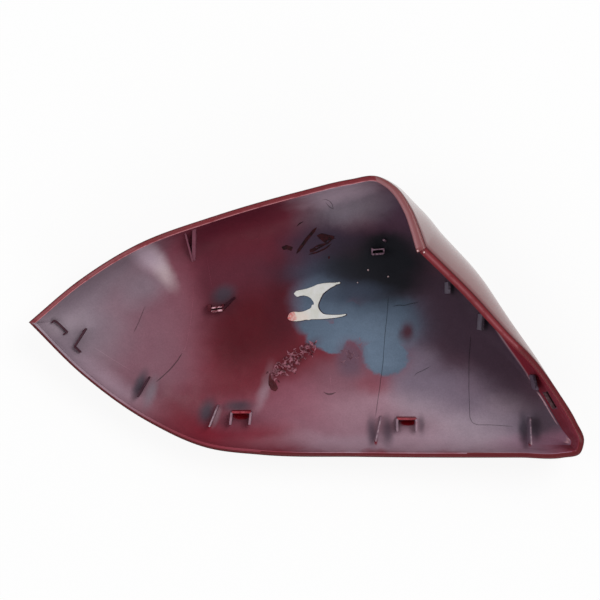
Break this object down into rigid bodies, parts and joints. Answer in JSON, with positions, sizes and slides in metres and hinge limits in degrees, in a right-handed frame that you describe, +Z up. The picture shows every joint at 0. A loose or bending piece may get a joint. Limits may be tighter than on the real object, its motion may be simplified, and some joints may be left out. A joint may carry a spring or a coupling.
{
  "type": "wing mirror cover",
  "caption": "Painted moulded cover for a car wing mirror, a hollow shell with a pointed inner end, ribs and clip pockets inside",
  "frame": {"origin": "centre of the bounding box in plan, at the lowest point of the painted main face that the cover rests on", "axes": "+X along the length from the pointed end to the round corner, +Y across towards the high peak of the rim, +Z up out of the open side"},
  "size_m": [0.2398, 0.122, 0.0569],
  "materials": {
    "cover": "dark red metallic paint under clear coat outside, thin overspray inside"
  },
  "bodies": {
    "root": {"cover": "cover"}
  },
  "joints": []
}
